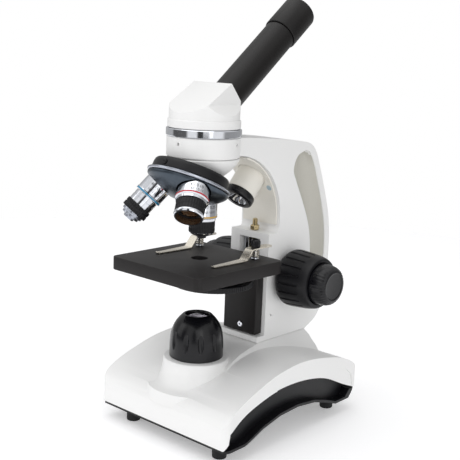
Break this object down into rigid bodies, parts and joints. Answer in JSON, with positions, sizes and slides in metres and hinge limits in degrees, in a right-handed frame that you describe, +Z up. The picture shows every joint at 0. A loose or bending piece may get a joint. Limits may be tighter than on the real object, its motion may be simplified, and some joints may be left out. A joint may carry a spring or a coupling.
{
  "type": "compound microscope",
  "caption": "Monocular student microscope: turning inclined head, tilted turret with screw-in objectives, rack-focused stage with spring clips, lamps above and below.",
  "frame": {"origin": "centre of the footprint's bounding box, on the surface the feet stand on", "axes": "+Z up; -Y towards the objectives and the base's sloping front, so the eyetube leans towards +Y; +X to the right as seen by someone facing +Y"},
  "size_m": [0.132, 0.1848, 0.3272],
  "materials": {
    "white_enamel": "satin",
    "white_casting": "satin",
    "textured_black": "matte",
    "black_plastic": "satin",
    "gloss_black": "gloss",
    "foot_rubber": "matte",
    "chrome_trim": "polished",
    "satin_steel": "satin",
    "brass_parts": "satin",
    "optical_glass": "polished",
    "led_board": "satin",
    "objective_barrel": "polished"
  },
  "bodies": {
    "stand": {"base_shell": "white_enamel", "base_tray": "black_plastic", "foot_front_left": "foot_rubber", "foot_front_right": "foot_rubber", "foot_rear_left": "foot_rubber", "foot_rear_right": "foot_rubber", "power_inlet": "black_plastic", "arm": "white_casting", "nosepiece_mount": "white_casting", "throat_cover": "white_casting", "head_band": "chrome_trim", "guide_rod_left": "chrome_trim", "guide_rod_right": "chrome_trim", "stage_stop_screw": "brass_parts", "stage_stop_nut": "brass_parts", "upper_lamp_housing": "white_casting", "upper_lamp_bezel": "black_plastic", "upper_lamp_reflector": "chrome_trim", "upper_lamp_led": "optical_glass", "illuminator_cap": "gloss_black", "illuminator_lens": "optical_glass", "illuminator_led": "led_board"},
    "stage": {"stage_plate": "textured_black", "stage_bracket": "textured_black", "focus_rack": "brass_parts", "bracket_screw": "chrome_trim", "condenser_lens": "optical_glass", "diaphragm_pivot": "chrome_trim", "clip_post_left": "chrome_trim", "clip_post_right": "chrome_trim", "clip_spring_left": "satin_steel", "clip_spring_right": "satin_steel"},
    "diaphragm": {"diaphragm_disc": "black_plastic"},
    "left_clip": {"clip_left": "chrome_trim", "clip_knob_left": "black_plastic"},
    "right_clip": {"clip_right": "chrome_trim", "clip_knob_right": "black_plastic"},
    "coarse_focus": {"coarse_shaft": "satin_steel", "coarse_knob_left": "gloss_black", "coarse_knob_right": "gloss_black"},
    "fine_focus": {"fine_shaft": "satin_steel", "fine_knob_left": "gloss_black", "fine_knob_right": "gloss_black"},
    "nosepiece": {"nosepiece_disc": "textured_black", "nosepiece_ring": "chrome_trim", "nosepiece_dish": "satin_steel", "nosepiece_screw": "chrome_trim", "objective_4x_barrel": "objective_barrel", "objective_4x_lens": "optical_glass", "objective_10x_barrel": "objective_barrel", "objective_10x_lens": "optical_glass", "objective_40x_barrel": "objective_barrel"},
    "sprung_nose": {"objective_40x_nose": "objective_barrel", "objective_40x_lens": "optical_glass"},
    "head": {"upper_head": "white_casting", "prism": "optical_glass", "eyetube": "textured_black"},
    "eyepiece": {"eyepiece": "textured_black", "eye_lens": "optical_glass"},
    "rocker": {"power_switch": "black_plastic"}
  },
  "joints": [
    {"name": "stage_focus", "type": "slide", "parent": "stand", "child": "stage", "axis": [0, 0, 1], "range_m": [-0.001, 0.008]},
    {"name": "coarse_turn", "type": "hinge", "parent": "stand", "child": "coarse_focus", "pos_m": [0, 0.0383, 0.1119], "axis": [1, 0, 0], "range_deg": [-92, 12]},
    {"name": "fine_turn", "type": "hinge", "parent": "coarse_focus", "child": "fine_focus", "pos_m": [0, 0.0383, 0.1119], "axis": [1, 0, 0], "continuous": true},
    {"name": "nosepiece_turn", "type": "hinge", "parent": "stand", "child": "nosepiece", "pos_m": [0, -0.05621, 0.19226], "axis": [0, -0.4147, -0.91], "continuous": true},
    {"name": "nose_40x_slide", "type": "slide", "parent": "nosepiece", "child": "sprung_nose", "axis": [0.3591, 0.566, 0.742], "range_m": [0, 0.0015], "stiffness_N_per_m": 800, "springref_m": -0.002},
    {"name": "head_turn", "type": "hinge", "parent": "stand", "child": "head", "pos_m": [0, -0.0424, 0.2304], "axis": [0, 0, 1], "continuous": true},
    {"name": "eyepiece_slide", "type": "slide", "parent": "head", "child": "eyepiece", "axis": [0, 0.7771, 0.6293], "range_m": [0, 0.03]},
    {"name": "diaphragm_turn", "type": "hinge", "parent": "stage", "child": "diaphragm", "pos_m": [0, -0.0274, 0.112], "axis": [0, 0, 1], "continuous": true},
    {"name": "left_clip_swing", "type": "hinge", "parent": "stage", "child": "left_clip", "pos_m": [-0.0285, -0.0129, 0.1422], "axis": [0, 0, 1], "range_deg": [-60, 15]},
    {"name": "right_clip_swing", "type": "hinge", "parent": "stage", "child": "right_clip", "pos_m": [0.0285, -0.0129, 0.1422], "axis": [0, 0, 1], "range_deg": [-15, 60]},
    {"name": "switch_rock", "type": "hinge", "parent": "stand", "child": "rocker", "pos_m": [0.0055, 0.081, 0.03], "axis": [1, 0, 0], "range_deg": [-16, 0]}
  ],
  "couplings": [
    {"joint": "coarse_turn", "follows": "stage_focus", "rad_per_m": -200}
  ]
}
